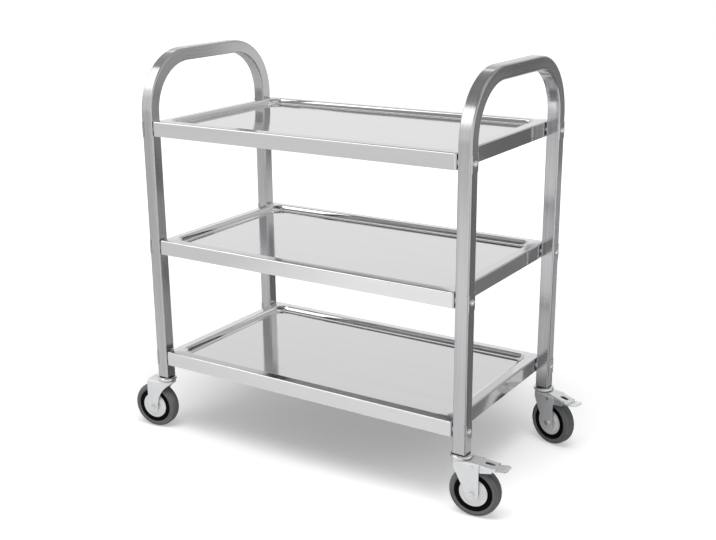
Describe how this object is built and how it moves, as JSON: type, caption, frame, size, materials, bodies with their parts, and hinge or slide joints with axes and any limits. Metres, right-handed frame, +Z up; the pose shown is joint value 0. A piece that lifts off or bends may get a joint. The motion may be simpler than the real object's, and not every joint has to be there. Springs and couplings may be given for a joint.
{
  "type": "serving trolley",
  "caption": "Tiered serving trolley: pressed steel trays bolted between bent square-tube end frames with handles, on swivel casters with foot brakes at one end.",
  "frame": {"origin": "on the floor, under the middle of the trays", "axes": "+X along the trolley towards the end with the brakes, +Y to the back, +Z up"},
  "size_m": [0.9013, 0.4378, 0.825],
  "materials": {
    "tube_steel": "satin stainless tube",
    "tray_steel": "bright polished stainless sheet",
    "saddle_steel": "satin stainless strip",
    "bolt_chrome": "bright plated steel",
    "head_chrome": "bright zinc-plated pressing",
    "zinc_steel": "bright zinc-plated pressing",
    "cap_steel": "dull zinc-plated sheet",
    "plug_plastic": "black moulded plastic",
    "rim_plastic": "black moulded plastic",
    "bush_plastic": "natural moulded plastic",
    "tyre_rubber": "grey non-marking rubber",
    "shoe_rubber": "black moulded rubber"
  },
  "bodies": {
    "frame": {"left_end_frame": "tube_steel", "right_end_frame": "tube_steel", "bottom_shelf": "tray_steel", "middle_shelf": "tray_steel", "top_shelf": "tray_steel", "shelf_bolts": "bolt_chrome", "shelf_nuts": "bolt_chrome", "shelf_spacers": "bolt_chrome", "bolt_saddles": "saddle_steel", "leg_plugs": "plug_plastic", "caster_stems": "zinc_steel", "swivel_heads": "head_chrome"},
    "front_left_swivel": {"front_left_fork": "zinc_steel", "front_left_swivel_balls": "bolt_chrome", "front_left_axle_bolt": "bolt_chrome", "front_left_axle_nut": "bolt_chrome", "front_left_axle_sleeve": "zinc_steel"},
    "front_left_wheel": {"front_left_rim": "rim_plastic", "front_left_tyre": "tyre_rubber", "front_left_dust_caps": "cap_steel", "front_left_bushes": "bush_plastic"},
    "rear_left_swivel": {"rear_left_fork": "zinc_steel", "rear_left_swivel_balls": "bolt_chrome", "rear_left_axle_bolt": "bolt_chrome", "rear_left_axle_nut": "bolt_chrome", "rear_left_axle_sleeve": "zinc_steel"},
    "rear_left_wheel": {"rear_left_rim": "rim_plastic", "rear_left_tyre": "tyre_rubber", "rear_left_dust_caps": "cap_steel", "rear_left_bushes": "bush_plastic"},
    "front_right_swivel": {"front_right_fork": "zinc_steel", "front_right_swivel_balls": "bolt_chrome", "front_right_axle_bolt": "bolt_chrome", "front_right_axle_nut": "bolt_chrome", "front_right_axle_sleeve": "zinc_steel", "front_right_pedal_pin": "bolt_chrome"},
    "front_right_wheel": {"front_right_rim": "rim_plastic", "front_right_tyre": "tyre_rubber", "front_right_dust_caps": "cap_steel", "front_right_bushes": "bush_plastic"},
    "front_right_pedal": {"front_right_brake_pedal": "zinc_steel", "front_right_brake_shoe": "shoe_rubber"},
    "rear_right_swivel": {"rear_right_fork": "zinc_steel", "rear_right_swivel_balls": "bolt_chrome", "rear_right_axle_bolt": "bolt_chrome", "rear_right_axle_nut": "bolt_chrome", "rear_right_axle_sleeve": "zinc_steel", "rear_right_pedal_pin": "bolt_chrome"},
    "rear_right_wheel": {"rear_right_rim": "rim_plastic", "rear_right_tyre": "tyre_rubber", "rear_right_dust_caps": "cap_steel", "rear_right_bushes": "bush_plastic"},
    "rear_right_pedal": {"rear_right_brake_pedal": "zinc_steel", "rear_right_brake_shoe": "shoe_rubber"}
  },
  "joints": [
    {"name": "front_left_swivel", "type": "hinge", "parent": "frame", "child": "front_left_swivel", "pos_m": [-0.3635, -0.19, 0.113], "axis": [0, 0, 1], "continuous": true},
    {"name": "front_left_roll", "type": "hinge", "parent": "front_left_swivel", "child": "front_left_wheel", "pos_m": [-0.39214, -0.19454, 0.05], "axis": [0.1564, -0.9877, 0], "continuous": true},
    {"name": "rear_left_swivel", "type": "hinge", "parent": "frame", "child": "rear_left_swivel", "pos_m": [-0.3635, 0.19, 0.113], "axis": [0, 0, 1], "continuous": true},
    {"name": "rear_left_roll", "type": "hinge", "parent": "rear_left_swivel", "child": "rear_left_wheel", "pos_m": [-0.39222, 0.19404, 0.05], "axis": [-0.1392, -0.9903, 0], "continuous": true},
    {"name": "front_right_swivel", "type": "hinge", "parent": "frame", "child": "front_right_swivel", "pos_m": [0.3635, -0.19, 0.113], "axis": [0, 0, 1], "continuous": true},
    {"name": "front_right_roll", "type": "hinge", "parent": "front_right_swivel", "child": "front_right_wheel", "pos_m": [0.39234, -0.18697, 0.05], "axis": [-0.1045, 0.9945, 0], "continuous": true},
    {"name": "front_right_brake", "type": "hinge", "parent": "front_right_swivel", "child": "front_right_pedal", "pos_m": [0.39035, -0.18718, 0.105], "axis": [-0.1045, 0.9945, 0], "range_deg": [0, 12]},
    {"name": "rear_right_swivel", "type": "hinge", "parent": "frame", "child": "rear_right_swivel", "pos_m": [0.3635, 0.19, 0.113], "axis": [0, 0, 1], "continuous": true},
    {"name": "rear_right_roll", "type": "hinge", "parent": "rear_right_swivel", "child": "rear_right_wheel", "pos_m": [0.39123, 0.18152, 0.05], "axis": [0.2924, 0.9563, 0], "continuous": true},
    {"name": "rear_right_brake", "type": "hinge", "parent": "rear_right_swivel", "child": "rear_right_pedal", "pos_m": [0.38932, 0.18211, 0.105], "axis": [0.2924, 0.9563, 0], "range_deg": [0, 12]}
  ]
}
